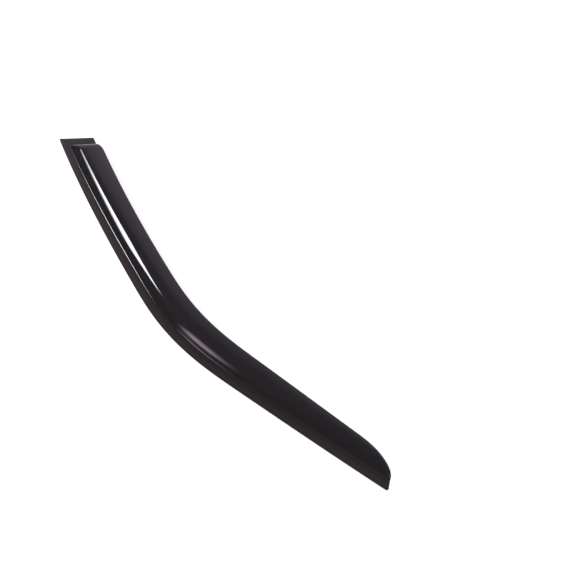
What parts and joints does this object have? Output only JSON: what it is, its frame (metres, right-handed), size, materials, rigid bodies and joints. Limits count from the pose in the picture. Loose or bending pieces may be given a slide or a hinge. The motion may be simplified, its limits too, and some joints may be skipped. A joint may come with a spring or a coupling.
{
  "type": "window rain deflector",
  "caption": "Smoked, glossy window rain deflector for a front door of a car, with a flat flange, a stepped visor, a rolled free edge and foam mounting tape under its liner.",
  "frame": {"origin": "centre of the plan box, on the underside of the release film that lies on the ground", "axes": "+X along the chord from the rear end to the nose, +Y from the mounting flange to the free edge, +Z away from the door"},
  "size_m": [0.8764, 0.1338, 0.0187],
  "materials": {
    "smoked_acrylic": "smoked and polished",
    "foam_tape": "fine closed foam",
    "release_film": "satin film"
  },
  "bodies": {
    "root": {"visor_shell": "smoked_acrylic", "side_tape": "foam_tape", "end_tape": "foam_tape", "side_liner": "release_film", "end_liner": "release_film"}
  },
  "joints": []
}
